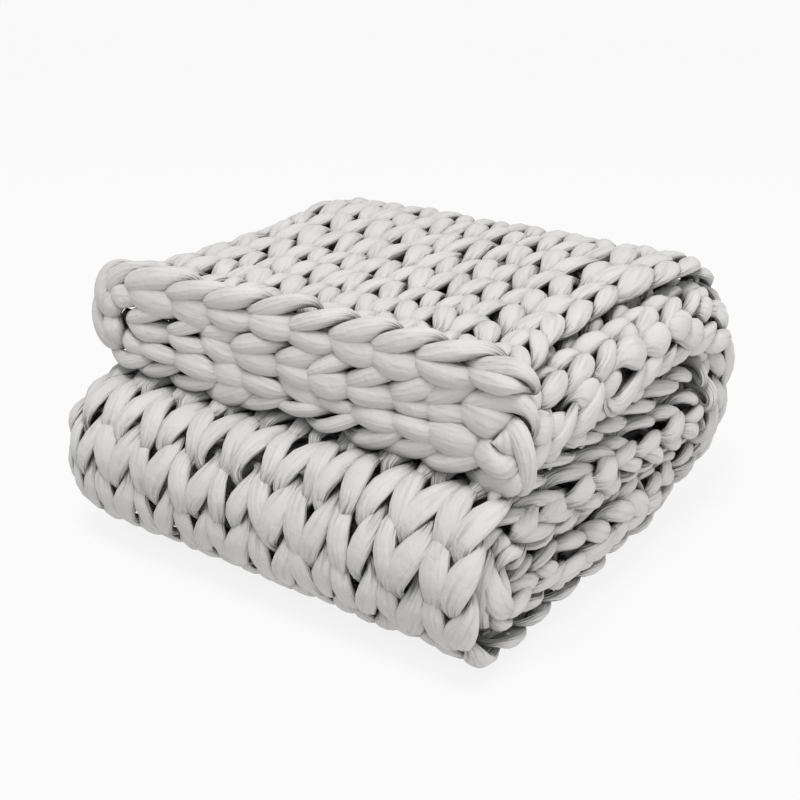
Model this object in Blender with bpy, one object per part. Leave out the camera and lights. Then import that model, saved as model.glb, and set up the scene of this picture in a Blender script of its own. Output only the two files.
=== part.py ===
"""Weighted blanket, knitted by hand from a fat stuffed tube yarn and folded for a shelf.

The blanket is one sheet. Its two sides are folded over each other like a letter, which gives a
slab three layers deep. The slab is then folded in three as well: one end is turned up at the
front, and the other comes over it from the back, so that nine layers lie on each other. The
solid is the section of the letter fold, its layers a little apart, carried along that second
fold. The columns of stitches show as low ribs on the outer faces.

Units are metres, +Z is up. +X runs across the knit columns. -Y is the front, where the top
slab's free end lies above the lower round fold, and +Y is the side of the tall round fold. The
origin is the centre of the footprint, on the surface that the blanket lies on.
"""
import math

import bmesh
import bpy
import numpy as np

# Driving sizes of the folded block
SLAB_WIDTH = 0.420           # X, from the left turn to the top flap's selvedge
BLOCK_DEPTH = 0.454          # Y, from the front fold to the back fold
TOP_SLAB = 0.0820            # the loose top slab, three layers
LOW_SLAB = 0.0705            # each of the two slabs that lie pressed under it
SLAB_GAP = 0.0016            # between one slab and the next
TOP_SAG = 0.007              # the top slab is this much thinner halfway to its fold
FRONT_RECESS = 0.049         # the top slab's free end lies this far behind the front fold
MIDDLE_REACH = 0.022         # the middle slab's free end reaches this far into the back fold

# The letter fold. Heights are fractions of the slab's thickness
LAYER_GAP = 0.030
LAYER = (1.0 - 2.0 * LAYER_GAP) / 3.0
BOTTOM = LAYER / 2.0         # middle heights of the three layers
MIDDLE = 0.5
TOP = 1.0 - LAYER / 2.0
TURN_WIDTH = 0.080           # the slab thickness that the side turns have in X
HEM_CLEARANCE = 0.012        # room between the left turn and the middle flap's selvedge

# Knit
COLUMN_PITCH = 0.041
COLUMN_POINTS = 4            # section points on each column
RIB_DEPTH = 0.006
EDGE_ROUND = 0.013           # the cast-on and bind-off edges round off over this length
EDGE_ANGLES = (12.0, 38.0, 64.0)        # degrees round that edge of its stations
EDGE_FULLNESS = 0.35         # fullness that a layer would shrink to at the very edge

# Turns of the slab. Its inner and outer faces are superellipses about the turn's centre. The
# back fold goes round the middle slab's free end, and the front fold closes on itself
#            outer reach   squareness above and below   inner reach   inner squareness
TURNS = {
    "back":  (0.114,        2.35, 1.65,                  0.037,        2.6),
    "front": (0.065,        2.0, 2.0,                    0.0008,       2.0),
}
TURN_STEPS = 10
RUN_STEP = 0.065             # longest step along a straight run

# How unevenly it was folded, at five places along the slab. All are steps in X
#                  whole slab   right turn   top flap
PLACES = {
    "top edge":     (0.000,     -0.014,       0.000),
    "back turn":    (-0.016,     0.000,      -0.018),
    "bottom":       (-0.016,     0.000,      -0.012),
    "front turn":   (-0.015,    -0.004,      -0.018),
    "middle edge":  (-0.010,     0.000,       0.000),
}

MIDDLE_FLOOR = LOW_SLAB + SLAB_GAP
TOP_FLOOR = MIDDLE_FLOOR + LOW_SLAB + SLAB_GAP
FRONT_CENTRE = (-BLOCK_DEPTH / 2.0 + TURNS["front"][0], (LOW_SLAB + MIDDLE_FLOOR) / 2.0)
BACK_CENTRE = (BLOCK_DEPTH / 2.0 - TURNS["back"][0], (LOW_SLAB + TOP_FLOOR) / 2.0)


# Letter-fold section. A section point is a row: the middle of the layer at that point (x, h)
# and the step from there to the face (x, h), both with h in slab thicknesses.

def along(x_from, x_to, height, side, count):
    """Face of a flat layer; side is 1 for its upper face and -1 for its lower one."""
    rows = np.zeros((count, 4))
    rows[:, 0] = np.linspace(x_from, x_to, count)
    rows[:, 1] = height
    rows[:, 3] = side * LAYER / 2.0
    return rows


def around(x, height, radius, from_deg, to_deg, side, count):
    """Face of a layer that turns about (x, height); radius 0 rounds off a free edge."""
    angle = np.radians(np.linspace(from_deg, to_deg, count))
    rows = np.zeros((count, 4))
    rows[:, 0] = x + TURN_WIDTH * radius * np.cos(angle)
    rows[:, 1] = height + radius * np.sin(angle)
    rows[:, 2] = side * TURN_WIDTH * LAYER / 2.0 * np.cos(angle)
    rows[:, 3] = side * LAYER / 2.0 * np.sin(angle)
    return rows


def resampled(rows, spacing):
    """The same stretch of section with its points evenly spaced, and the distance of each."""
    face = rows[:, :2] + rows[:, 2:]
    steps = np.diff(face, axis=0) * (1.0, TURN_WIDTH)
    distance = np.concatenate([[0.0], np.cumsum(np.hypot(steps[:, 0], steps[:, 1]))])
    count = int(distance[-1] / spacing)
    at = np.arange(count + 1) * spacing
    columns = [np.interp(at, distance, rows[:, column]) for column in range(4)]
    return np.stack(columns, axis=1), at


def letter_fold():
    """Closed section of the letter fold, and the depth of the knit ribs at each point."""
    half = SLAB_WIDTH / 2.0
    right_radius = (MIDDLE - BOTTOM) / 2.0
    right_height = (MIDDLE + BOTTOM) / 2.0
    right_x = half - TURN_WIDTH * (right_radius + LAYER / 2.0)
    left_radius = MIDDLE - BOTTOM
    left_x = -half + TURN_WIDTH / 2.0
    flap_x = half - TURN_WIDTH * LAYER / 2.0
    hem_x = left_x + HEM_CLEARANCE

    fine = 200
    outer = np.vstack([
        around(right_x, right_height, right_radius, 90.0, -90.0, 1.0, fine),
        along(right_x, left_x, BOTTOM, -1.0, fine)[1:],
        around(left_x, MIDDLE, left_radius, -90.0, -270.0, 1.0, fine)[1:],
        along(left_x, flap_x, TOP, 1.0, fine)[1:],
    ])
    knit, distance = resampled(outer, COLUMN_PITCH / COLUMN_POINTS)
    rib = np.abs(np.sin(math.pi * distance / COLUMN_PITCH)) - 1.0

    plain = np.vstack([
        around(flap_x, TOP, 0.0, 70.0, -90.0, 1.0, 5),
        along(flap_x, left_x, TOP, -1.0, 6)[1:],
        around(left_x, MIDDLE, left_radius, 90.0, 270.0, -1.0, 9)[1:],
        along(left_x, right_x, BOTTOM, 1.0, 6)[1:],
        around(right_x, right_height, right_radius, -90.0, 90.0, -1.0, 5)[1:],
        along(right_x, hem_x, MIDDLE, -1.0, 6)[1:],
        around(hem_x, MIDDLE, 0.0, 270.0, 90.0, 1.0, 6)[1:],
        along(hem_x, right_x, MIDDLE, 1.0, 6)[1:-1],
    ])
    return np.vstack([knit, plain]), np.concatenate([rib, np.zeros(len(plain))])


# Second fold. A station is a row: the point (y, z) where the section's bottom lies, the
# direction (y, z) in which its height runs, the slab's thickness, the fullness of the layers,
# which falls at a knitted edge, the strength of the ribs on the section's top, and the place
# along the slab, counted in rows of PLACES.

def squircle(angle, reach, height, squareness):
    """Distance of a superellipse from its centre, at an angle in radians."""
    across = abs(math.cos(angle) / reach) ** squareness
    upright = abs(math.sin(angle) / height) ** squareness
    return (across + upright) ** (-1.0 / squareness)


def edge_stations(y_edge, inward, floor, thickness, rib, place):
    """Stations that round off a knitted edge, from the edge inwards."""
    rows = []
    for degrees in EDGE_ANGLES:
        y = y_edge + inward * EDGE_ROUND * (1.0 - math.cos(math.radians(degrees - EDGE_ANGLES[0])))
        fullness = EDGE_FULLNESS + (1.0 - EDGE_FULLNESS) * math.sin(math.radians(degrees))
        rows.append((y, floor, 0.0, 1.0, thickness, fullness, rib, place))
    return rows


def run_stations(y_from, y_to, floor, up, thickness, rib, places, sag=0.0):
    """Stations of a straight run, both ends included; the slab is sagged most at its middle."""
    rows = []
    count = math.ceil(abs(y_to - y_from) / RUN_STEP)
    for share in np.linspace(0.0, 1.0, count + 1):
        y = y_from + share * (y_to - y_from)
        thinned = thickness - sag * math.sin(math.pi * share) ** 2
        place = places[0] + share * (places[1] - places[0])
        rows.append((y, floor, 0.0, up, thinned, 1.0, rib, place))
    return rows


def turn_stations(name, centre, sign, inner, thick_above, thick_below, place):
    """Stations of a turn from its top to its underside; sign is the side that it bulges to.

    inner is half the height of the space that the turn goes round.
    """
    reach, above, below, inner_reach, inner_square = TURNS[name]
    rows = []
    for angle in np.linspace(math.pi / 2.0, -math.pi / 2.0, TURN_STEPS + 1)[1:-1]:
        upper = angle > 0.0
        height = inner + (thick_above if upper else thick_below)
        outside = squircle(angle, reach, height, above if upper else below)
        inside = squircle(angle, inner_reach, inner, inner_square)
        out_y, out_z = sign * math.cos(angle), math.sin(angle)
        pressed = max(0.0, -math.sin(angle)) ** 4
        rows.append((centre[0] + inside * out_y, centre[1] + inside * out_z, out_y, out_z,
                     outside - inside, 1.0, 1.0 - pressed, place))
    return rows


def slab_stations():
    """All stations, from the top slab's free end to the middle slab's."""
    top_edge = -BLOCK_DEPTH / 2.0 + FRONT_RECESS
    front_y, back_y = FRONT_CENTRE[0], BACK_CENTRE[0]
    middle_edge = back_y + MIDDLE_REACH
    back_inner = (TOP_FLOOR - LOW_SLAB) / 2.0
    front_inner = SLAB_GAP / 2.0
    return (
        edge_stations(top_edge, 1.0, TOP_FLOOR, TOP_SLAB, 1.0, 0.0)
        + run_stations(top_edge + EDGE_ROUND, back_y, TOP_FLOOR, 1.0, TOP_SLAB, 1.0,
                       (0.0, 1.0), TOP_SAG)
        + turn_stations("back", BACK_CENTRE, 1.0, back_inner, TOP_SLAB, LOW_SLAB, 1.0)
        + run_stations(back_y, front_y, LOW_SLAB, -1.0, LOW_SLAB, 0.0, (1.0, 3.0))
        + turn_stations("front", FRONT_CENTRE, -1.0, front_inner, LOW_SLAB, LOW_SLAB, 3.0)[::-1]
        + run_stations(front_y, middle_edge - EDGE_ROUND, MIDDLE_FLOOR, 1.0, LOW_SLAB, 1.0,
                       (3.0, 4.0))
        + edge_stations(middle_edge, -1.0, MIDDLE_FLOOR, LOW_SLAB, 1.0, 4.0)[::-1]
    )


def uneven(x, height, place):
    """Steps in X of the section's points at one place along the slab."""
    rows = np.array(list(PLACES.values()))
    slab, turn, flap = [np.interp(place, np.arange(len(rows)), rows[:, k]) for k in range(3)]
    right_half = np.clip(2.0 * x / SLAB_WIDTH, 0.0, 1.0)
    return slab + right_half * np.where(height > (MIDDLE + TOP) / 2.0, flap, turn)


def station_points(station, section, rib):
    """The section set on one station, as points in space."""
    y, z, up_y, up_z, thickness, fullness, top_rib, place = station
    middle, to_face = section[:, :2], section[:, 2:]
    length = np.hypot(to_face[:, 0] / TURN_WIDTH, to_face[:, 1])
    facing = to_face / length[:, None] / (TURN_WIDTH, 1.0)
    depth = np.where(facing[:, 1] > 0.7, top_rib, 1.0) * rib * RIB_DEPTH
    x = middle[:, 0] + fullness * to_face[:, 0] + depth * facing[:, 0]
    x += uneven(middle[:, 0], middle[:, 1], place)
    height = (middle[:, 1] + fullness * to_face[:, 1]) * thickness + depth * facing[:, 1]
    return np.stack([x, y + up_y * height, z + up_z * height], axis=1)


def blanket_rings():
    """Rings of points along the slab, with the footprint's centre at the origin."""
    section, rib = letter_fold()
    rings = np.array([station_points(station, section, rib) for station in slab_stations()])
    low, high = rings.min(axis=(0, 1)), rings.max(axis=(0, 1))
    rings[:, :, :2] -= (low[:2] + high[:2]) / 2.0
    return rings


def loft(name, rings):
    """Closed solid through rings that all have the same number of points."""
    mesh = bmesh.new()
    loops = [[mesh.verts.new(point) for point in ring] for ring in rings]
    for near, far in zip(loops, loops[1:]):
        for index in range(len(near)):
            after = (index + 1) % len(near)
            mesh.faces.new((near[index], near[after], far[after], far[index]))
    mesh.faces.new(loops[0][::-1])
    mesh.faces.new(loops[-1])
    bmesh.ops.recalc_face_normals(mesh, faces=mesh.faces)
    data = bpy.data.meshes.new(name)
    mesh.to_mesh(data)
    mesh.free()
    data.shade_smooth()
    data.set_sharp_from_angle(angle=math.radians(50.0))
    return data


def cotton_jersey():
    """Matte light grey cotton jersey, the skin of the tube yarn."""
    material = bpy.data.materials.new("cotton_jersey_grey")
    material.use_nodes = True
    surface = material.node_tree.nodes["Principled BSDF"]
    surface.inputs["Base Color"].default_value = (0.56, 0.56, 0.55, 1.0)
    surface.inputs["Roughness"].default_value = 0.85
    surface.inputs["Metallic"].default_value = 0.0
    return material


def main():
    for item in list(bpy.data.objects):
        bpy.data.objects.remove(item, do_unlink=True)
    parts = bpy.data.collections.new("weighted_blanket")
    bpy.context.scene.collection.children.link(parts)

    blanket = bpy.data.objects.new("blanket", loft("blanket", blanket_rings()))
    blanket.data.materials.append(cotton_jersey())
    parts.objects.link(blanket)


main()
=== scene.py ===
# %% [markdown]
# # A folded weighted blanket, knitted from fat tube yarn
#
# The blanket is one sheet of stockinette, the plainest hand knitting, in a yarn as thick as a
# thumb: a cotton jersey tube stuffed with filling, which is what makes the blanket heavy. It is
# folded in thirds like a letter, and the strip is folded in thirds again. A cloth simulation
# could fold a plain sheet, but not one that shows every loop of its yarn. So we work the
# knitting out flat first, as a knitter does, and fold its points only at the very end.

import math

import bpy
import numpy as np
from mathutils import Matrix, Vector


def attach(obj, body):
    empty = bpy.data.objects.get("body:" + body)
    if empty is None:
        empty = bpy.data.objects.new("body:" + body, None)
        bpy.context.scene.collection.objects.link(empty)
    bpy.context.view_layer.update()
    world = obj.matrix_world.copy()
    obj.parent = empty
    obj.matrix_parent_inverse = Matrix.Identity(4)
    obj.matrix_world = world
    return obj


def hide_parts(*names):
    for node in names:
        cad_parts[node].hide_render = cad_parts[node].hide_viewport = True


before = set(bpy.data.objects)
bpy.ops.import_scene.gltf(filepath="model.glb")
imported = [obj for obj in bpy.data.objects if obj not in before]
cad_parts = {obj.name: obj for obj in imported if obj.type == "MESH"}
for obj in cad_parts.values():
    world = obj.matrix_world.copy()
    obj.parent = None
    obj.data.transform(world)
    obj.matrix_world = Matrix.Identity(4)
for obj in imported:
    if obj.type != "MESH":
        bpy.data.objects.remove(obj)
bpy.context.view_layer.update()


# %% [markdown]
# ## Slabs and layers
#
# Everything is in metres. These are the sizes that the frame's solid was made with, so that the
# yarn lies where the solid does. A slab is a pack of three layers of knitting, and three slabs
# lie on each other. Heights inside a slab are shares of its thickness, from its floor to its
# top, so the same layers fit a loose slab and a pressed one.

# %% Sizes of the slabs and the layers
SLAB_WIDTH = 0.420           # from the left turn of the letter fold to the top flap's selvedge
BLOCK_DEPTH = 0.454
TOP_SLAB = 0.0820            # thickness of the loose top slab, three layers
LOW_SLAB = 0.0705            # thickness of each of the two slabs pressed under it
SLAB_GAP = 0.0016
TOP_SAG = 0.007              # the top slab is this much thinner halfway to its fold
FRONT_RECESS = 0.049         # its free end lies this far behind the front fold
MIDDLE_REACH = 0.022         # the middle slab's free end reaches this far into the back fold
CENTRE_X = -0.00716          # the footprint's centre, seen from the middle of the slab's width

LAYER_GAP = 0.030            # gap between two layers, as a share of the slab
LAYER = (1.0 - 2.0 * LAYER_GAP) / 3.0
BOTTOM = LAYER / 2.0         # the middle heights of the three layers
MIDDLE = 0.5
TOP = 1.0 - LAYER / 2.0
TOP_MIDDLE = (MIDDLE + TOP) / 2.0        # between the middle layer and the top one
TURN_WIDTH = 0.080           # the slab thickness that the side turns have in X
HEM_CLEARANCE = 0.012        # room between the left turn and the middle flap's selvedge

MIDDLE_FLOOR = LOW_SLAB + SLAB_GAP
TOP_FLOOR = MIDDLE_FLOOR + LOW_SLAB + SLAB_GAP
print("the slabs' floors are at 0,", round(MIDDLE_FLOOR, 4), "and", round(TOP_FLOOR, 4), "m")

# %% [markdown]
# ## Turns and uneven folding
#
# Each turn of the second fold is a reach and a squareness, outside and inside. Nobody folds a
# heavy blanket square, so a second table gives steps in X at five places along the strip: of
# the whole slab, of its right turn, and of the top flap. The flap's own steps differ from the
# solid's, because here it slips and curls on top of them. Tables like these are easier to
# change than a shape that was pushed about by hand.

# %% Turns and places along the strip
#            outer reach   squareness above and below   inner reach   inner squareness
TURNS = {
    "back":  (0.114,        2.35, 1.65,                  0.037,        2.6),
    "front": (0.065,        2.0, 2.0,                    0.0008,       2.0),
}

#                  whole slab   right turn   top flap
PLACES = {
    "top edge":     (0.000,     -0.014,       0.000),
    "back turn":    (-0.016,     0.000,       0.002),
    "bottom":       (-0.016,     0.000,       0.000),
    "front turn":   (-0.015,    -0.004,       0.004),
    "middle edge":  (-0.010,     0.000,       0.000),
}

FRONT_CENTRE = (-BLOCK_DEPTH / 2.0 + TURNS["front"][0], (LOW_SLAB + MIDDLE_FLOOR) / 2.0)
BACK_CENTRE = (BLOCK_DEPTH / 2.0 - TURNS["back"][0], (LOW_SLAB + TOP_FLOOR) / 2.0)
print("the turns' centres are at y, z",
      [[round(value, 3) for value in centre] for centre in (FRONT_CENTRE, BACK_CENTRE)])

# %% [markdown]
# ## Stitches and yarn
#
# These are what a knitter would note down: how many millimetres a column and a row of stitches
# take, and how fat the yarn is. A stitch shows two plump legs, and its ends are pulled thin
# where they tuck under their neighbours.

# %% Sizes of the knitting
COLUMN_GOAL = 0.0360         # what one column of stitches takes across the sheet
ROW_GOAL = 0.0415            # what one row of stitches takes along it
LEG_WIDTH = 0.0103           # half width of the yarn at the middle of a stitch's leg
TUCK_WIDTH = 0.0040          # half width where it tucks under its neighbours
FLATNESS = 0.69              # the yarn's thickness as a share of its width
LEG_LIFT = 0.0072            # legs stand this far in front of the sheet's middle, tucks behind
KNIT_THICKNESS = 2.0 * (LEG_LIFT + FLATNESS * LEG_WIDTH)
EDGE_BAND = 0.014            # room for the chain along each bound-off edge
STEPS = 12                   # steps along one stitch
SIDES = 8                    # sides of the yarn, before it is subdivided
LIMIT_GAIN = 1.11            # a subdivided eight-sided tube is this much thinner than its cage
print("the knitting is", round(1000.0 * KNIT_THICKNESS, 1), "mm thick before it is pressed")

# %% [markdown]
# ## The fold, part one: the letter
#
# Seen from its end, the strip is a letter fold: the middle flap lies inside, the sheet turns
# under it on the right, runs back as the bottom layer, turns up on the left and comes over the
# top. A curve with a bevel could draw that section, but we need to know where every single
# point of the knitting goes. So the section is a table of distances along the sheet, and a
# point is looked up in it. The stretch says how much wider than usual the columns are there:
# knitting is pulled wide over the outside of a fold.

# %% Parts of a letter fold
FINE = 160                   # table rows for each part of a fold
RIGHT_STRETCH = 1.20         # the right turn's columns are wider, seen from outside
FLAP_STRETCH = (1.24, 0.96)              # the top layer's columns are wider at the left
SELVEDGE_STRETCH = (1.05, 1.34)          # and its last two spread as they curl over
SELVEDGE_BAND = 0.085
RIGHT_SQUARE = (2.8, 3.6)    # squareness of the right turn's upper and lower half
LEFT_SQUARE = (2.1, 2.1)
FLAP_REACH = -0.008          # the top flap reaches this far past the right turn, so it ends short


def superellipse(angle, squares):
    """Radius: (|cos|^n + |sin|^n)^(-1/n), with one n above the middle and one below."""
    square = np.where(np.sin(angle) > 0.0, *squares)
    return (np.abs(np.cos(angle)) ** square + np.abs(np.sin(angle)) ** square) ** (-1.0 / square)


def along(x_from, x_to, height, facing, stretch=(1.0, 1.0)):
    """Flat part: x runs evenly, the height stays, and the knit side faces up or down."""
    x = np.linspace(x_from, x_to, FINE)
    flat = np.zeros(FINE)
    return np.stack([x, flat + height, flat, flat + facing,
                     np.linspace(*stretch, FINE)], axis=1)


def around(x, height, radius, squares, from_deg, to_deg, stretch):
    """Half turn between a small inner circle and an outer superellipse; the middle line lies
    halfway, the yarn fills the whole gap, and the knit side faces outwards."""
    angle = np.radians(np.linspace(from_deg, to_deg, FINE))
    inner = radius - LAYER / 2.0
    outer = (radius + LAYER / 2.0) * superellipse(angle, squares)
    middle = (inner + outer) / 2.0
    fullness = (outer - inner) / LAYER
    return np.stack([x + TURN_WIDTH * middle * np.cos(angle), height + middle * np.sin(angle),
                     TURN_WIDTH * fullness * np.cos(angle), fullness * np.sin(angle),
                     np.full(FINE, stretch)], axis=1)


right_corners = superellipse(np.radians((45.0, -45.0)), RIGHT_SQUARE)
print("the right turn's corners reach out", right_corners.round(3), "times its radius")

# %% [markdown]
# The parts are joined from the middle flap's selvedge to the top flap's. The distance along
# the sheet could be measured on its middle line, but that would spread the stitches on every
# turn. It is measured on the outer face, where the columns show.

# %% Letter fold
def letter_table():
    """Rows of (x, height, facing x, facing height), and each row's distance along the sheet,
    taken at the outer face of the turns and divided by the stretch."""
    half = SLAB_WIDTH / 2.0
    right_radius = (MIDDLE - BOTTOM) / 2.0
    right_x = half - TURN_WIDTH * (right_radius + LAYER / 2.0)
    left_radius = MIDDLE - BOTTOM
    left_x = -half + TURN_WIDTH / 2.0
    flap_end = half + FLAP_REACH
    parts = [
        along(left_x + HEM_CLEARANCE, right_x, MIDDLE, 1.0),
        around(right_x, (MIDDLE + BOTTOM) / 2.0, right_radius, RIGHT_SQUARE, 90.0, -90.0,
               RIGHT_STRETCH),
        along(right_x, left_x, BOTTOM, -1.0),
        around(left_x, MIDDLE, left_radius, LEFT_SQUARE, -90.0, -270.0, 1.0),
        along(left_x, flap_end - SELVEDGE_BAND, TOP, 1.0, FLAP_STRETCH),
        along(flap_end - SELVEDGE_BAND, flap_end, TOP, 1.0, SELVEDGE_STRETCH),
    ]
    at, length = [], 0.0
    for rows in parts:
        face = (rows[:, :2] + rows[:, 2:4] * LAYER / 2.0) * (1.0, TURN_WIDTH)
        steps = np.hypot(*np.diff(face, axis=0).T) / rows[1:, 4]
        at.append(length + np.concatenate([[0.0], np.cumsum(steps)]))
        length = at[-1][-1]
    return np.vstack(parts)[:, :4], np.concatenate(at)


LETTER, LETTER_AT = letter_table()
COLUMNS = round(LETTER_AT[-1] / COLUMN_GOAL)
COLUMN = LETTER_AT[-1] / COLUMNS
print("sheet is", round(LETTER_AT[-1], 3), "m wide:", COLUMNS, "columns of", round(COLUMN, 4))

# %% [markdown]
# ## The fold, part two: in thirds again
#
# The three-layer slab then runs back, goes down round everything at the back, comes forward
# along the floor, turns up at the front and ends inside the back fold. A plain circle would
# make each turn look like a roll, so it lies between two superellipses: a heavy fold is squarer
# where it is pressed.

# %% Parts of the second fold
def squircle(angle, reach, height, squareness):
    """Superellipse: (|cos| / reach)^n plus (|sin| / height)^n, all to the power -1/n."""
    across = (np.abs(np.cos(angle)) / reach) ** squareness
    return (across + (np.abs(np.sin(angle)) / height) ** squareness) ** (-1.0 / squareness)


def run(y_from, y_to, floor, up, thickness, places, sag=0.0):
    """Straight run: rows of (y, z, up y, up z, thickness, place), sagging as a sine squared."""
    share = np.linspace(0.0, 1.0, FINE)
    flat = np.zeros(FINE)
    return np.stack([y_from + share * (y_to - y_from), flat + floor, flat, flat + up,
                     thickness - sag * np.sin(math.pi * share) ** 2,
                     places[0] + share * (places[1] - places[0])], axis=1)


def turn(name, centre, side, inner, thick_above, thick_below, place):
    """Turn from its top to its underside about its centre, bulging to one side. Inner is half
    the height of the space that it goes round."""
    reach, above, below, inner_reach, inner_square = TURNS[name]
    angle = np.linspace(math.pi / 2.0, -math.pi / 2.0, FINE)
    outside = np.where(angle > 0.0, squircle(angle, reach, inner + thick_above, above),
                       squircle(angle, reach, inner + thick_below, below))
    inside = squircle(angle, inner_reach, inner, inner_square)
    out_y, out_z = side * np.cos(angle), np.sin(angle)
    return np.stack([centre[0] + inside * out_y, centre[1] + inside * out_z, out_y, out_z,
                     outside - inside, np.full(FINE, place)], axis=1)


back_turn = turn("back", BACK_CENTRE, 1.0, (TOP_FLOOR - LOW_SLAB) / 2.0, TOP_SLAB, LOW_SLAB, 1.0)
front_turn = turn("front", FRONT_CENTRE, -1.0, SLAB_GAP / 2.0, LOW_SLAB, LOW_SLAB, 3.0)
for name, rows in (("back", back_turn), ("front", front_turn)):
    print("round the", name, "turn the slab is", rows[::FINE // 4, 4].round(3), "m thick")

# %% [markdown]
# Knitting slides over itself, so every layer spreads its rows evenly along its own path. The
# outer layer has the longest way round, and the inner ones have to pack the same rows closer.
# Giving all layers the same places would tear the outer stitches apart at the turns.

# %% Fold in thirds
def path_length(rows, height):
    """Distance of each row along the slab's path, for a layer at that height in the slab."""
    line = rows[:, :2] + rows[:, 2:4] * rows[:, 4:5] * height
    return np.concatenate([[0.0], np.cumsum(np.hypot(*np.diff(line, axis=0).T))])


front_y, back_y = FRONT_CENTRE[0], BACK_CENTRE[0]
SLAB = np.vstack([
    run(-BLOCK_DEPTH / 2.0 + FRONT_RECESS, back_y, TOP_FLOOR, 1.0, TOP_SLAB, (0.0, 1.0), TOP_SAG),
    back_turn,
    run(back_y, front_y, LOW_SLAB, -1.0, LOW_SLAB, (1.0, 3.0)),
    front_turn[::-1],
    run(front_y, back_y + MIDDLE_REACH, MIDDLE_FLOOR, 1.0, LOW_SLAB, (3.0, 4.0)),
])
OUTER_AT = path_length(SLAB, TOP)
INNER_AT = path_length(SLAB, BOTTOM)
SHEET_LENGTH = OUTER_AT[-1]
ROWS = round((SHEET_LENGTH - 2.0 * EDGE_BAND) / ROW_GOAL)
ROW = (SHEET_LENGTH - 2.0 * EDGE_BAND) / ROWS
print("sheet is", round(SHEET_LENGTH, 3), "m long:", ROWS, "rows of", round(ROW, 4),
      "outside and", round(ROW * INNER_AT[-1] / SHEET_LENGTH, 4), "inside")

# %% [markdown]
# ## Slip, curl and swelling
#
# The top flap's free selvedge doesn't end square. Stockinette curls away from its knit side, so
# the last column rolls over the edge, and on the loose top slab it droops over the shoulder of
# the turn below it. That is a bend about a line along the selvedge. The loose flap has also
# slipped to the left, and where it leaves the right turns free, they swell into the gaps
# between the slabs. Loops could be moved one by one in edit mode, but all that work would be
# lost with the next change to the fold.

# %% Slip, curl and swelling of the loose edge
CURL_ANGLE = math.radians(46.0)
CURL_LIMIT = math.radians(130.0)         # nothing is bent further than this,
CURL_CORE = 0.002                        # or lies closer to the bend's centre than this
CURL_PLACES = (1.60, 4.00)               # the bend's radius at two places along the strip
CURL_RADII = (0.026, 0.024)
FLAP_SLIP = 0.036            # the top flap has slipped this far to the left behind its corner
SLIP_PLACES = (0.00, 0.10, 0.36, 0.72, 1.00, 1.40)       # places along the strip,
SLIP_SHARES = (0.00, 0.42, 1.00, 1.00, 0.40, 0.00)       # and the share of the slip there
SWELL = 0.15                 # the right turns swell by this share into the gaps between slabs,
FREE_SWELL = 0.28            # and by this much more where the flap has left them free
SWELL_FROM = 0.09            # the swelling starts this far to the right of the middle,
SWELL_OVER = 0.07            # and is full after this much more


def looked_up(at, distances, table):
    """Every column of a table, read at the given distances."""
    return [np.interp(at, distances, table[:, column]) for column in range(table.shape[1])]


def uneven(x, height, place):
    """Steps in X from the table of places, less the slip. The slip grows from the left turn to
    the right, and from nothing in the middle layer to the whole in the top one."""
    steps = np.array(list(PLACES.values()))
    slab, right, flap = looked_up(place, np.arange(len(steps)), steps)
    right_half = np.clip(2.0 * x / SLAB_WIDTH, 0.0, 1.0)
    shift = slab + right_half * np.where(height > TOP_MIDDLE, flap, right)
    swing = np.clip(0.5 + x / SLAB_WIDTH, 0.0, 1.0) * np.clip(
        (height - MIDDLE) / (TOP - MIDDLE), 0.0, 1.0)
    return shift - FLAP_SLIP * swing * np.interp(place, SLIP_PLACES, SLIP_SHARES)


def curled(x, height, thickness, place, edge):
    """Bend of the top flap: beyond the bend's start, distance over radius is an angle, and a
    point keeps its depth below the outer face."""
    radius = np.interp(place, CURL_PLACES, CURL_RADII)
    start = edge - radius * CURL_ANGLE
    angle = np.clip((x - start) / radius, 0.0, CURL_LIMIT)
    depth = (1.0 - height) * thickness
    arm = np.maximum(radius - depth, CURL_CORE)
    bent_x = start + arm * np.sin(angle)
    bent_height = 1.0 - (radius - arm * np.cos(angle)) / thickness
    return np.where(angle > 0.0, bent_x, x), np.where(angle > 0.0, bent_height, height)


def swollen(x, height, place):
    """Height in a right turn: its distance from the turn's middle, grown by the swelling."""
    swell = (SWELL + FREE_SWELL * np.interp(place, SLIP_PLACES, SLIP_SHARES)) * np.clip(
        (x - SWELL_FROM) / SWELL_OVER, 0.0, 1.0)
    turn_height = (BOTTOM + MIDDLE) / 2.0
    return turn_height + (height - turn_height) * (1.0 + swell)


print("the flap slips", FLAP_SLIP, "m and curls", round(math.degrees(CURL_ANGLE)), "degrees")

# %% [markdown]
# ## Folding any point
#
# A point of the flat sheet has three numbers: how far across it lies, how far down, and how far
# out of the knit side. The letter table turns the first into a place in the slab's section, and
# the slab table turns the second into a place along the strip. Bend modifiers could fold a mesh
# too, but each knows only one axis, and here two folds, a slip and a curl work together.

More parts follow.
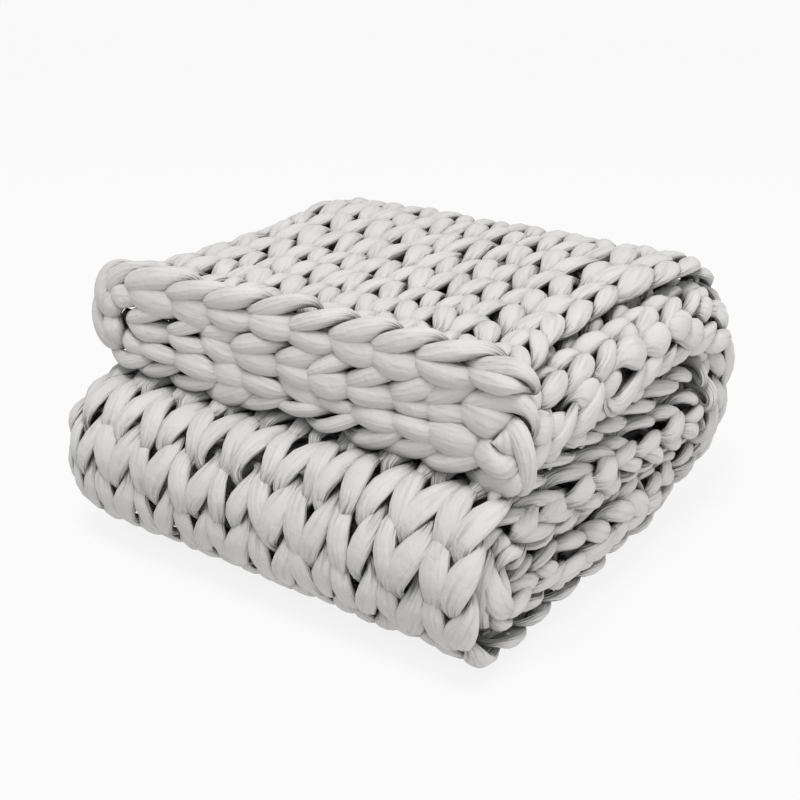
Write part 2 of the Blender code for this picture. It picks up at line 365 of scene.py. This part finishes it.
# %% Fold any point of the flat sheet
def folded(points):
    """Flat sheet (across, along, out of the knit side) to the folded block.

    The letter table gives x and a height inside the slab, and the slab table lifts that height
    off the slab's floor, in the direction that is up at that place along the strip. A layer's
    place along the strip goes by its own path, between the innermost and the outermost one."""
    across, down, out = points[..., 0], points[..., 1], points[..., 2]
    x_middle, layer, face_x, face_height = looked_up(across, LETTER_AT, LETTER)
    x_middle = x_middle + across - np.clip(across, 0.0, LETTER_AT[-1])
    layers_out = LAYER * out / KNIT_THICKNESS

    station = np.arange(len(SLAB))
    on_outer = np.interp(down, OUTER_AT, station)
    on_inner = np.interp(down * INNER_AT[-1] / SHEET_LENGTH, INNER_AT, station)
    outwards = np.clip((layer - BOTTOM) / (TOP - BOTTOM), 0.0, 1.0)
    y, z, up_y, up_z, thickness, place = looked_up(
        on_inner + outwards * (on_outer - on_inner), station, SLAB)
    y = y + down - np.clip(down, 0.0, SHEET_LENGTH)

    x = x_middle + layers_out * face_x + uneven(x_middle, layer, place)
    height = layer + layers_out * face_height
    flap_end = SLAB_WIDTH / 2.0 + FLAP_REACH
    edge = flap_end + uneven(np.full_like(x, flap_end), TOP, place)
    bent_x, bent_height = curled(x, height, thickness, place, edge)
    flap = layer > TOP_MIDDLE
    height = np.where(flap, bent_height, swollen(x, height, place))
    x = np.where(flap, bent_x, x)
    lift = height * thickness
    return np.stack([x - CENTRE_X, y + up_y * lift, np.maximum(z + up_z * lift, 0.0)], axis=-1)


sheet_corners = np.array([(0.0, 0.0, 0.0), (LETTER_AT[-1], 0.0, 0.0),
                          (0.0, SHEET_LENGTH, 0.0), (LETTER_AT[-1], SHEET_LENGTH, 0.0)])
print("the sheet's corners fold to", folded(sheet_corners).round(3).tolist())

# %% [markdown]
# ## Uneven hands
#
# Hand knitting is never even, so each stitch gets a little of its own size and place. The
# displacement of a noise texture would shake every point by itself, and the yarn would look
# rough. One random number each half stitch, with a smooth ramp between them, moves whole legs.
# Where the sheet turns at a side, stitches are crowded and stray more. The table of random
# numbers is seeded, so the blanket comes out the same each time.

# %% Smooth random curves
UNEVEN = 0.0026              # spread of the stitches' places
UNEVEN_OUT = 0.5             # in and out of the sheet they stray only this share of it
CROWDED_UNEVEN = 1.6         # how much more they stray at a side turn
UNEVEN_WIDTH = 0.085         # spread of the yarn's width
random_table = np.random.default_rng(1843)


def wander(count, per_stitch):
    """Smooth random curve: one normal draw each half stitch, joined by cosine ramps."""
    draws = random_table.normal(size=2 * (count // per_stitch) + 4)
    at = np.arange(count) * 2.0 / per_stitch
    low = at.astype(int)
    ramp = (1.0 - np.cos(math.pi * (at - low))) / 2.0
    return draws[low] * (1.0 - ramp) + draws[low + 1] * ramp


def crowding(across):
    """0 where the sheet lies flat, 1 where it turns at a side of the letter fold."""
    return np.abs(np.interp(across, LETTER_AT, LETTER[:, 2])) / TURN_WIDTH


column_middles = (np.arange(COLUMNS) + 0.5) * COLUMN
print(int((crowding(column_middles) > 0.0).sum()), "of", COLUMNS, "columns lie in a side turn")

# %% [markdown]
# ## The wave of one row
#
# A row of stockinette is one wave of yarn. Seen from the knit side each stitch shows two legs,
# plump where they come forward at their foot and pinched where their head dives behind the next
# row, so the pair reads as a V. The wave is three sines: the yarn swings up and down once a
# stitch, leans in and out twice, and comes forward and goes back twice. Curves could be drawn
# stitch by stitch, but one formula for the whole row keeps every loop linked with the next.
# This blanket is knitted outwards from its middle row, so that both its ends finish alike, and
# the V points to the middle on either half.

# %% The wave of one row
RISE = 0.88 * ROW            # half the height of a stitch's loop
LEAN = 0.285 * COLUMN        # how far a leg leans over its own height
SLANT = 0.13                 # how far a stitch's head leans to the right of its foot
FOOT_LIFT = 0.78             # how much further forward a leg lies near its foot than its head
FOOT_WIDTH = 0.10            # how much fatter it is there
LEG_TAPER = 1.35             # how soon a leg narrows towards its ends,
FOOT_TAPER = 0.25            # sooner by this much at its foot, and later at its head
EDGE_HEAD = 0.45             # an edge row's heads rise only this share, to end behind the chain


def row_of_stitches(row):
    """Middle line of one row, its half width and how far it is tucked (1) or in the open (0).

    across = column pitch times turns, plus the lean times the sine of twice the angle, less
    the slant times the rise times the cosine; along = the row's place plus the rise times the
    cosine, with the foot towards the sheet's middle; out = lift times minus the cosine of twice
    the angle, plus a share for the foot. The last draws move and swell it a little."""
    count = COLUMNS * STEPS + 1
    angle = 2.0 * math.pi * np.arange(count) / STEPS
    foot_side = 1.0 if row < ROWS / 2.0 else -1.0
    head_rise = RISE * (EDGE_HEAD if row in (0, ROWS - 1) else 1.0)
    open_leg = np.sin(angle) ** 2
    across = (COLUMN * angle / (2.0 * math.pi) + LEAN * np.sin(2.0 * angle)
              - SLANT * RISE * np.cos(angle))
    along_sheet = EDGE_BAND + (row + 0.5) * ROW + foot_side * np.where(
        np.cos(angle) < 0.0, head_rise, RISE) * np.cos(angle)
    out = LEG_LIFT * (-np.cos(2.0 * angle) + FOOT_LIFT * open_leg * np.cos(angle))
    swell = UNEVEN * (1.0 + CROWDED_UNEVEN * crowding(across))
    line = np.stack([across + swell * wander(count, STEPS),
                     along_sheet + swell * wander(count, STEPS),
                     out + UNEVEN_OUT * swell * wander(count, STEPS)], axis=1)
    taper = LEG_TAPER + FOOT_TAPER * np.cos(angle)
    width = TUCK_WIDTH + (LEG_WIDTH - TUCK_WIDTH) * open_leg ** taper
    width = width * (1.0 + FOOT_WIDTH * np.cos(angle) * open_leg)
    width = width * (1.0 + UNEVEN_WIDTH * wander(count, STEPS))
    return line, width, 1.0 - open_leg


print("a stitch's loop is", round(2000.0 * RISE), "mm tall on a row of", round(1000.0 * ROW), "mm")

# %% [markdown]
# ## Skin of a yarn
#
# A tube of jersey that is pulled over filling isn't round: it lies flat in the sheet, its sides
# are drawn to an edge, and it has flat and full places and long furrows where it is drawn thin.
# A curve's bevel would carry one fixed section along the yarn, but rings of points that we work
# out ourselves can differ at every step.

# %% Skin of a yarn: rings of points along a middle line
LENS = 0.45                  # 0 is an ellipse, and more draws its sides to an edge
DENT = 0.035                 # spread of the dents in the yarn's skin
FACET = 0.115                # spread of the flat and full sides of each leg,
FURROW = 0.30                # and how much deeper they are where the yarn is drawn thin
DENT_LIMITS = (-0.35, 0.3)


def skin(line, width, closed):
    """Rings round a line: half width times cosine sideways, flattened sine upwards, drawn
    towards a lens, as a soft tube with flattened edges is.

    Sideways is the line's direction crossed with the sheet's knit side, so that the yarn lies
    flat in the sheet. Each point of a ring is pushed in or out a little, for a lumpy filling,
    and each side of a leg all the way along, for its flat sides and its furrows."""
    if closed:
        ahead = np.roll(line, -1, axis=0) - np.roll(line, 1, axis=0)
    else:
        ahead = np.gradient(line, axis=0)
    ahead = ahead / np.linalg.norm(ahead, axis=1, keepdims=True)
    sideways = np.cross(ahead, (0.0, 0.0, 1.0))
    sideways = sideways / np.linalg.norm(sideways, axis=1, keepdims=True)
    upwards = np.cross(sideways, ahead)
    angle = 2.0 * math.pi * np.arange(SIDES) / SIDES
    thin = (1.0 - width / width.max())[:, None]
    stripes = random_table.normal(size=(len(line) // STEPS + 2, SIDES))
    stripes = stripes[(np.arange(len(line)) + STEPS // 4) // (STEPS // 2) % len(stripes)]
    dents = random_table.normal(size=(len(line), SIDES))
    dents = 1.0 + (DENT * dents + (FACET + FURROW * thin) * stripes).clip(*DENT_LIMITS)
    reach = (LIMIT_GAIN * width[:, None] * dents)[:, :, None]
    across = np.cos(angle)[None, :, None]
    rise = (FLATNESS * np.sin(angle) * np.abs(np.sin(angle)) ** LENS)[None, :, None]
    return line[:, None, :] + reach * (across * sideways[:, None, :] + rise * upwards[:, None, :])


print("the yarn is", round(2000.0 * LEG_WIDTH, 1), "mm wide at a leg and",
      round(2000.0 * TUCK_WIDTH, 1), "mm where it tucks")

# %% [markdown]
# ## From rings to faces
#
# Each ring joins the next with a band of four-sided faces, like the hoops of a barrel. Looking
# up the four corners of all faces at once is much faster than adding them one by one. The UV
# map unrolls the yarn, in metres along and around it, so that the jersey's pattern keeps its
# real size.

# %% Bands of faces and their UV map
def yarn_bands(rings, closed):
    """Faces between rings, and the UV of their corners.

    A face has this ring's side, the next side, and the same two of the ring after. U is the
    length so far, and V is the side times an eighth of the way round. A corner's ring or side
    isn't counted back to 0 for its UV, so no face is stretched at the seam."""
    count = len(rings)
    ring, side = np.indices((count if closed else count - 1, SIDES))
    after, beside = (ring + 1) % count, (side + 1) % SIDES
    quads = np.stack([ring * SIDES + side, ring * SIDES + beside,
                      after * SIDES + beside, after * SIDES + side], axis=-1)
    step = np.linalg.norm(np.diff(rings.mean(axis=1), axis=0), axis=1)
    length = np.cumsum(np.concatenate([[0.0], step, step[-1:]]))
    here, there = length[ring], length[ring + 1]
    eighth = 2.0 * math.pi * LEG_WIDTH / SIDES
    uv = np.stack([np.stack([here, here, there, there], axis=-1),
                   np.stack([side, side + 1, side + 1, side], axis=-1) * eighth], axis=-1)
    return quads.reshape(-1, 4), uv.reshape(-1, 2)


print("a stitch has", STEPS * SIDES, "faces in the cage")

# %% [markdown]
# One mesh holds many yarns, because a piece is easier to handle than a thousand loops. A
# Subdivision Surface modifier at level 1 rounds the cage off, which keeps the file light, and
# how far a point is tucked goes along as an attribute, for the material's creases.

# %% Mesh of several yarns
def yarn_piece(name, yarns):
    """One mesh from several yarns, each (rings of points, tucked share, closed or not). An open
    yarn gets one face with as many sides as the yarn at each end."""
    points, faces, tucks, uv = [], [], [], []
    first = 0
    for rings, tucked, closed in yarns:
        count = len(rings)
        quads, corner_uv = yarn_bands(rings, closed)
        faces += (quads + first).tolist()
        uv.append(corner_uv)
        if not closed:
            faces.append((first + np.arange(SIDES)[::-1]).tolist())
            faces.append((first + (count - 1) * SIDES + np.arange(SIDES)).tolist())
            uv.append(np.zeros((2 * SIDES, 2)))
        points.append(rings.reshape(-1, 3))
        tucks.append(np.repeat(tucked, SIDES))
        first += count * SIDES
    mesh = bpy.data.meshes.new(name)
    mesh.from_pydata(np.vstack(points), [], faces)
    tuck = mesh.attributes.new("tuck", "FLOAT", "POINT")
    tuck.data.foreach_set("value", np.concatenate(tucks).astype(np.float32))
    layer = mesh.uv_layers.new(name="yarn")
    layer.data.foreach_set("uv", np.vstack(uv).astype(np.float32).ravel())
    mesh.update()
    mesh.shade_smooth()
    piece = bpy.data.objects.new(name, mesh)
    bpy.context.scene.collection.objects.link(piece)
    smooth = piece.modifiers.new("smooth", "SUBSURF")
    smooth.levels = 1
    smooth.render_levels = 1
    print(name, len(mesh.polygons), "faces in the cage,", 2 * len(mesh.loops), "triangles")
    return piece


# %% [markdown]
# ## The knitting
#
# The rows are cut into five pieces, in the order in which they lie along the strip, which
# keeps each mesh a handy size. Each row is shaped flat, given its skin flat, and only then
# folded, so the yarn is squashed with the layer that it lies in, as the soft filling is.

# %% Knit the sheet
PIECE_NAMES = ("knit_top", "knit_back_fold", "knit_bottom", "knit_front_fold", "knit_middle")
CUTS = [round(ROWS * share / len(PIECE_NAMES)) for share in range(len(PIECE_NAMES) + 1)]


def knitted(name, first_row, last_row):
    """A piece of the folded sheet, from one row up to, but not including, another."""
    yarns = []
    for row in range(first_row, last_row):
        line, width, tucked = row_of_stitches(row)
        yarns.append((folded(skin(line, width, False)), tucked, False))
    return yarn_piece(name, yarns)


knit_pieces = [knitted(name, first, last)
               for name, first, last in zip(PIECE_NAMES, CUTS, CUTS[1:])]

# %% [markdown]
# ## Bound-off edges
#
# Both ends of the blanket are finished with a chain: every stitch is drawn through the one
# before it. Each link is a closed loop that lies along the edge and shows a pair of legs to the
# outside. Its blunt start stands high over the link before it, and its end is drawn thin and
# low, where the next link covers it. An Array modifier on a curve could repeat one link, but
# then all would be alike, and here each one is pulled a little differently.

# %% One link of the chain
LINK_RISE = 0.97 * COLUMN    # half the length of a link
LINK_SPREAD = 0.0084         # how far a link's legs lie from the chain's middle
LINK_PINCH = 0.47            # how much closer they lie at its start
LINK_RAISE = 0.15            # how far a link lies to the knit side, as a share of its spread
LINK_WIDTH = 0.0108          # half width of a link's leg,
LINK_TUCK = 0.0042           # and of its ends
LINK_FACE = 0.14             # the leg on the knit side is this much thinner, the other fatter
LINK_LIFT = 0.0060           # legs stand this far outside the chain's middle, ends inside
LINK_SLANT = 0.17            # a link's end lies this much higher than its start, for its length
LINK_UNEVEN = 1.3            # links stray and swell this much more than stitches do
LENGTH_SPREAD = 0.08         # spread of the links' lengths,
SLANT_SPREAD = 0.10          # of their slants,
RAISE_SPREAD = 0.0013        # and of how far they lie to the knit side
DRAW_LIMIT = 1.8             # no such draw is larger than this
LINK_GATHER = 0.45           # a link's ends are gathered this much, where a stitch's are 1


def chain_link(middle, edge, outward, spread):
    """Closed loop along the edge: legs beside its middle by the sine less the pinch times the
    sine of twice the angle, start and end reached by the cosine, and lifted as a stitch is.

    The slant raises the end to the knit side, and the width loses a share of the sine, so that
    the leg on that side is thinner. Draws change the length, slant, place and width."""
    count = 2 * STEPS
    angle = 2.0 * math.pi * np.arange(count) / count
    open_leg = np.sin(angle) ** 2
    length, slant, shift, rise = random_table.normal(size=4).clip(-DRAW_LIMIT, DRAW_LIMIT)
    forward = -LINK_RISE * (1.0 + LENGTH_SPREAD * length) * np.cos(angle)
    beside = (spread * (np.sin(angle) - LINK_PINCH * np.sin(2.0 * angle))
              + (LINK_SLANT + SLANT_SPREAD * slant) * forward + LINK_RAISE * LINK_SPREAD
              + RAISE_SPREAD * rise)
    lift = LINK_LIFT * (-np.cos(2.0 * angle) + FOOT_LIFT * open_leg * np.cos(angle))
    flat = np.stack([forward + LINK_UNEVEN * UNEVEN * shift, beside,
                     lift + UNEVEN_OUT * UNEVEN * wander(count, STEPS)], axis=1)
    width = LINK_TUCK + (LINK_WIDTH - LINK_TUCK) * open_leg
    width = width * (1.0 + FOOT_WIDTH * np.cos(angle) * open_leg - LINK_FACE * np.sin(angle))
    width = width * (1.0 + LINK_UNEVEN * UNEVEN_WIDTH * random_table.normal())
    rings = skin(flat, width, True)
    across = middle + rings[..., 0]
    out = rings[..., 1]
    down = edge + outward * rings[..., 2]
    return folded(np.stack([across, down, out], axis=-1)), LINK_GATHER * (1.0 - open_leg), True


print("a link is", round(2000.0 * (LINK_RISE + LINK_TUCK)), "mm long and",
      round(2000.0 * (LINK_SPREAD + LINK_WIDTH)), "mm wide before it is pressed")

# %% [markdown]
# A chain has one link for each column. Its last link sits on the corner that curls over, which
# would pull the loop open and show a hole, so the legs of that link are drawn together.

# %% Chains along both edges
END_SPREAD = 0.62            # spread of the last link's legs, as a share of the others'
CHAIN_DEPTH = LINK_LIFT + FLATNESS * LINK_WIDTH


def chain(name, edge, outward):
    """A chain of one link for each column along a knitted edge."""
    spreads = [LINK_SPREAD] * (COLUMNS - 1) + [END_SPREAD * LINK_SPREAD]
    links = [chain_link((column + 0.5) * COLUMN, edge, outward, spread)
             for column, spread in enumerate(spreads)]
    return yarn_piece(name, links)


edge_pieces = [
    chain("bound_off_edge_top", CHAIN_DEPTH, -1.0),
    chain("bound_off_edge_inside", SHEET_LENGTH - CHAIN_DEPTH, 1.0),
]

# %% [markdown]
# ## Colours and nodes
#
# The dye is a neutral light grey. A colour picker shows sRGB values and a shader wants linear
# ones, so one function turns a hex value into what the shader wants. Another adds a node with
# its settings and links. Nodes could be wired by hand in the editor, but a script that lists
# them stays readable.

# %% Colours and nodes
DYE_DARK, DYE_LIGHT = "#B3B2B1", "#BBBAB9"
# Painted shade: a near black that is mixed into the dye in the crevices between legs
PAINTED_SHADE_COLOUR = "#2E2D2C"          # the dye where two legs shade each other
PAPER = "#484848"


def linear(hex_colour):
    """sRGB hex to linear: below 0.04045 divided by 12.92, above ((c + 0.055) / 1.055) ^ 2.4."""
    channels = np.array([int(hex_colour[k:k + 2], 16) for k in (1, 3, 5)]) / 255.0
    low = channels / 12.92
    high = ((channels + 0.055) / 1.055) ** 2.4
    return tuple(np.where(channels <= 0.04045, low, high)) + (1.0,)


def add(tree, kind, settings, links):
    """Adds a node; links maps an input's name or number to a socket or to a plain value."""
    node = tree.nodes.new(kind)
    for name, value in settings.items():
        setattr(node, name, value)
    for name, source in links.items():
        if isinstance(source, bpy.types.NodeSocket):
            tree.links.new(source, node.inputs[name])
        else:
            node.inputs[name].default_value = source
    return node


print("the light dye is", [round(float(value), 3) for value in linear(DYE_LIGHT)[:3]], "linear")

# %% [markdown]
# ## Relief of the jersey
#
# The yarn's skin is cotton jersey, itself a fine machine knit, whose columns of tiny stitches
# run along the tube a millimetre apart. Over the loose filling it is softly rumpled, and where
# the yarn is pinched it gathers in lengthwise creases, so their height follows the tuck
# attribute. Real displacement would need millions of faces, and a bump needs none. The creases
# and the columns follow the yarn's own UV map, which wraps them round the tube.

# %% Relief of the jersey
WALE = 0.0011                # spacing of the jersey's own columns round the tube
WALE_STRETCH = 0.15          # along the tube they change this much slower
WALE_HEIGHT = 0.00012
CREASE_LENGTH = 0.030
CREASE_WIDTH = 0.0040
CREASE_HEIGHT = 0.0056
RUMPLE_SIZE = 0.009          # the loose skin's soft unevenness
RUMPLE_HEIGHT = 0.0012


def jersey_relief(tree, yarn, place, pinched):
    """Rumples, creases times the pinch, and wales, each a bump on the one before, with heights
    in metres. Returns the creases, the normal with creases and the one with wales as well."""
    stretched = add(tree, "ShaderNodeMapping", {}, {
        "Vector": yarn.outputs["UV"], "Scale": (1.0 / CREASE_LENGTH, 1.0 / CREASE_WIDTH, 1.0)})
    crease = add(tree, "ShaderNodeTexNoise", {}, {
        "Vector": stretched.outputs["Vector"], "Scale": 1.0, "Detail": 1.2, "Roughness": 0.45})
    crease_height = add(tree, "ShaderNodeMath", {"operation": "MULTIPLY"}, {
        0: crease.outputs["Fac"], 1: pinched.outputs["Result"]})
    wales = add(tree, "ShaderNodeMapping", {}, {
        "Vector": yarn.outputs["UV"], "Scale": (WALE_STRETCH / WALE, 1.0 / WALE, 1.0)})
    ribs = add(tree, "ShaderNodeTexNoise", {}, {
        "Vector": wales.outputs["Vector"], "Scale": 1.0, "Detail": 1.0})
    rumple = add(tree, "ShaderNodeTexNoise", {}, {
        "Vector": place.outputs["Object"], "Scale": 1.0 / RUMPLE_SIZE, "Detail": 2.0,
        "Roughness": 0.5, "Distortion": 0.4})

    soft = add(tree, "ShaderNodeBump", {}, {
        "Strength": 1.0, "Distance": RUMPLE_HEIGHT, "Height": rumple.outputs["Fac"]})
    creased = add(tree, "ShaderNodeBump", {}, {
        "Strength": 1.0, "Distance": CREASE_HEIGHT, "Height": crease_height.outputs["Value"],
        "Normal": soft.outputs["Normal"]})
    ribbed = add(tree, "ShaderNodeBump", {}, {
        "Strength": 0.6, "Distance": WALE_HEIGHT, "Height": ribs.outputs["Fac"],
        "Normal": creased.outputs["Normal"]})
    return crease, creased, ribbed


print("creases are about", 1000.0 * CREASE_WIDTH, "by", 1000.0 * CREASE_LENGTH, "mm")

# %% [markdown]
# ## Colour of the jersey, and painted shade
#
# Dyed cotton is faintly uneven in patches. Between two fat legs the light is lost among loose
# fibres, which a smooth mesh doesn't have, so its crevices come out too pale, and shade is
# painted into the colour there. It could be painted in by hand, but an Ambient Occlusion node
# finds by itself where a neighbour is near, and follows every change to the knitting. The
# valleys of the creases get painted shade too.

# %% Colour of the jersey and painted shade
DYE_PATCH = 0.060
PAINTED_SHADE_REACH = 0.014        # fibres this close to a neighbour shade each other


def jersey_colour_with_painted_shade(tree, place, pinched, crease, creased):
    """Two greys mixed by a noise, then mixed with painted shade, a near black, by the larger of
    two shares: how much a neighbour hides, and the creases' valleys times the pinch."""
    patches = add(tree, "ShaderNodeTexNoise", {}, {
        "Vector": place.outputs["Object"], "Scale": 1.0 / DYE_PATCH, "Detail": 3.0})
    dye = add(tree, "ShaderNodeMapRange", {}, {
        "Value": patches.outputs["Fac"], "From Min": 0.3, "From Max": 0.7, "To Min": 0.0,
        "To Max": 1.0})
    dyed = add(tree, "ShaderNodeMix", {"data_type": "RGBA"}, {
        "Factor": dye.outputs["Result"], 6: linear(DYE_DARK), 7: linear(DYE_LIGHT)})

    # Painted shade: where the Ambient Occlusion node finds a neighbour near, the colour darkens
    # towards near black
    open_to_light = add(tree, "ShaderNodeAmbientOcclusion", {"samples": 6}, {
        "Distance": PAINTED_SHADE_REACH, "Normal": creased.outputs["Normal"]})
    crevice_shade_share = add(tree, "ShaderNodeMapRange", {}, {
        "Value": open_to_light.outputs["AO"], "From Min": 0.10, "From Max": 0.85,
        "To Min": 0.92, "To Max": 0.0})
    # Painted shade: the creases' valleys near the pinched ends are darkened in the colour as well
    # as bumped
    valley = add(tree, "ShaderNodeMapRange", {}, {
        "Value": crease.outputs["Fac"], "From Min": 0.30, "From Max": 0.46, "To Min": 0.65,
        "To Max": 0.0})
    crease_shade_share = add(tree, "ShaderNodeMath", {"operation": "MULTIPLY"}, {
        0: valley.outputs["Result"], 1: pinched.outputs["Result"]})
    painted_shade_share = add(tree, "ShaderNodeMath", {"operation": "MAXIMUM"}, {
        0: crevice_shade_share.outputs["Result"], 1: crease_shade_share.outputs["Value"]})
    return add(tree, "ShaderNodeMix", {"data_type": "RGBA"}, {
        "Factor": painted_shade_share.outputs["Value"], 6: dyed.outputs[2], 7: linear(PAINTED_SHADE_COLOUR)})


print("a dye patch is about", 1000.0 * DYE_PATCH, "mm wide")

# %% [markdown]
# ## Cotton jersey
#
# Knitted cotton is matte and a little fuzzy. A hair system could grow the fuzz, but from this
# far a weak sheen on a very rough surface looks the same. The IOR is that of cellulose, 1.53.
# The pinch is the tuck attribute, mapped so that even a plump leg keeps a trace of the creases.

# %% Jersey material
def cotton_jersey():
    """Matte light grey cotton jersey pulled over filling."""
    material = bpy.data.materials.new("cotton_jersey_light_grey")
    material.use_nodes = True
    tree = material.node_tree
    surface = tree.nodes["Principled BSDF"]
    surface.inputs["Roughness"].default_value = 0.88
    surface.inputs["IOR"].default_value = 1.53
    surface.inputs["Sheen Weight"].default_value = 0.12
    surface.inputs["Sheen Roughness"].default_value = 0.45

    yarn = add(tree, "ShaderNodeUVMap", {"uv_map": "yarn"}, {})
    place = add(tree, "ShaderNodeTexCoord", {}, {})
    tuck = add(tree, "ShaderNodeAttribute", {"attribute_name": "tuck"}, {})
    pinched = add(tree, "ShaderNodeMapRange", {}, {
        "Value": tuck.outputs["Fac"], "From Min": 0.10, "From Max": 0.52, "To Min": 0.22,
        "To Max": 1.0})
    crease, creased, ribbed = jersey_relief(tree, yarn, place, pinched)
    shaded = jersey_colour_with_painted_shade(tree, place, pinched, crease, creased)
    tree.links.new(shaded.outputs[2], surface.inputs["Base Color"])
    tree.links.new(ribbed.outputs["Normal"], surface.inputs["Normal"])
    return material


jersey = cotton_jersey()
for piece in knit_pieces + edge_pieces:
    piece.data.materials.append(jersey)
print(jersey.name, "has", len(jersey.node_tree.nodes), "nodes")

# %% [markdown]
# ## Studio
#
# The blanket lies on a plain pale floor that glows a little, as a lit paper sweep does, so that
# shadows stay faint. A curved backdrop could stand behind it, but the camera looks down, and a
# wide flat floor fills all that it sees. The surround lights the yarn evenly from all sides.

# %% Floor and surround
FLOOR_SIZE = 24.0
FLOOR_GLOW = 0.85
SURROUND = 0.74
WHITE = (1.0, 1.0, 1.0, 1.0)


def plane(name, size, z):
    """Square floor of that size at height z."""
    mesh = bpy.data.meshes.new(name)
    half = size / 2.0
    mesh.from_pydata([(-half, -half, z), (half, -half, z), (half, half, z), (-half, half, z)],
                     [], [(0, 1, 2, 3)])
    piece = bpy.data.objects.new(name, mesh)
    bpy.context.scene.collection.objects.link(piece)
    return piece


def pale_floor():
    """White paper sweep: part reflects, part glows with the light behind it."""
    material = bpy.data.materials.new("pale_paper_floor")
    material.use_nodes = True
    surface = material.node_tree.nodes["Principled BSDF"]
    surface.inputs["Base Color"].default_value = linear(PAPER)
    surface.inputs["Roughness"].default_value = 0.9
    surface.inputs["Emission Color"].default_value = WHITE
    surface.inputs["Emission Strength"].default_value = FLOOR_GLOW
    return material


floor = plane("floor", FLOOR_SIZE, 0.0)
floor.data.materials.append(pale_floor())

world = bpy.data.worlds.new("studio")
bpy.context.scene.world = world
world.use_nodes = True
world.node_tree.nodes["Background"].inputs["Color"].default_value = WHITE
world.node_tree.nodes["Background"].inputs["Strength"].default_value = SURROUND
bpy.context.scene.view_settings.view_transform = "Standard"
print("the floor glows with", FLOOR_GLOW, "and the surround with", SURROUND)

# %% [markdown]
# One softbox hangs above the front of the blanket and models the stitches on top, and a weaker
# one stands low on the right and fills that side. A spot would light the same places, but only
# a large disk keeps the shadows between the legs soft.

# %% Softboxes
#    name                 place                  across   watts
SOFTBOXES = (
    ("overhead_softbox", (0.25, -0.72, 2.20),    0.8,     36.0),
    ("side_softbox",     (1.90, -0.45, 0.60),    1.2,     11.5),
)
LIT = Vector((0.0, 0.0, 0.1))            # the middle of the blanket


def aimed(direction):
    """Rotation that points a light or a camera along a direction, with its top side up."""
    return direction.to_track_quat("-Z", "Y").to_euler()


def area(name, place, size, power):
    """Round softbox at a place, facing the middle of the blanket."""
    data = bpy.data.lights.new(name, "AREA")
    data.shape = "DISK"
    data.size = size
    data.energy = power
    light = bpy.data.objects.new(name, data)
    light.location = place
    light.rotation_euler = aimed(LIT - Vector(place))
    bpy.context.scene.collection.objects.link(light)


for softbox in SOFTBOXES:
    area(*softbox)
print(len(SOFTBOXES), "softboxes of", [softbox[-1] for softbox in SOFTBOXES], "W")

# %% [markdown]
# ## Camera
#
# The camera stands a metre away, to the right of the front and above the block. From further
# off, a longer lens could show it as large, but it would flatten the block. This close, the
# nearest corner looks large and the sides run together, as they do to the eye.

# %% Camera
AZIMUTH = math.radians(36.2)
ELEVATION = math.radians(22.4)
DISTANCE = 1.0626
TARGET = Vector((-0.0171, -0.0095, 0.0976))
FOCAL_LENGTH = 56.25         # in millimetres, as is the sensor's width
SENSOR_WIDTH = 36.0

back = Vector((math.sin(AZIMUTH) * math.cos(ELEVATION), -math.cos(AZIMUTH) * math.cos(ELEVATION),
               math.sin(ELEVATION)))
camera_data = bpy.data.cameras.new("camera")
camera_data.sensor_width = SENSOR_WIDTH
camera_data.lens = FOCAL_LENGTH
camera = bpy.data.objects.new("camera", camera_data)
camera.location = TARGET + DISTANCE * back
camera.rotation_euler = aimed(-back)
bpy.context.scene.collection.objects.link(camera)
bpy.context.scene.camera = camera
print("the camera is at", [round(value, 3) for value in camera.location])

# %% [markdown]
# ## Riding on the body
#
# Every piece of yarn rides on the blanket's one body, and stands for the solid, which it hides.

# %% Ride on the body and hide the solid
for piece in knit_pieces + edge_pieces:
    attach(piece, "root")
    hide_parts("blanket")
